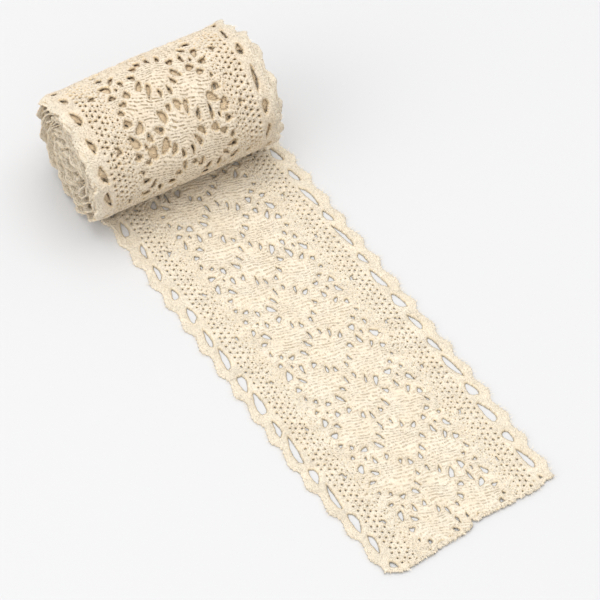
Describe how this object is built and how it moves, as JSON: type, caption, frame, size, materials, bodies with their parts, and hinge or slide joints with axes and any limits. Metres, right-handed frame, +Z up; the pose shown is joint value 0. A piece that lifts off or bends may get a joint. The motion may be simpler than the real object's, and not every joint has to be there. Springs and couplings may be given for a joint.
{
  "type": "roll of lace trim",
  "caption": "Wide scalloped cotton lace trim wound into a loose roll, with its last stretch laid out flat to a raw cut end.",
  "frame": {"origin": "below the middle of the whole object's box, on the surface that it lies on", "axes": "+X across the strip, -Y from the roll along the loose end to its cut end, +Z up"},
  "size_m": [0.0878, 0.227, 0.0502],
  "materials": {
    "cotton_lace": "matt unbleached cotton thread"
  },
  "bodies": {
    "root": {"roll": "cotton_lace", "loose_end": "cotton_lace"}
  },
  "joints": []
}
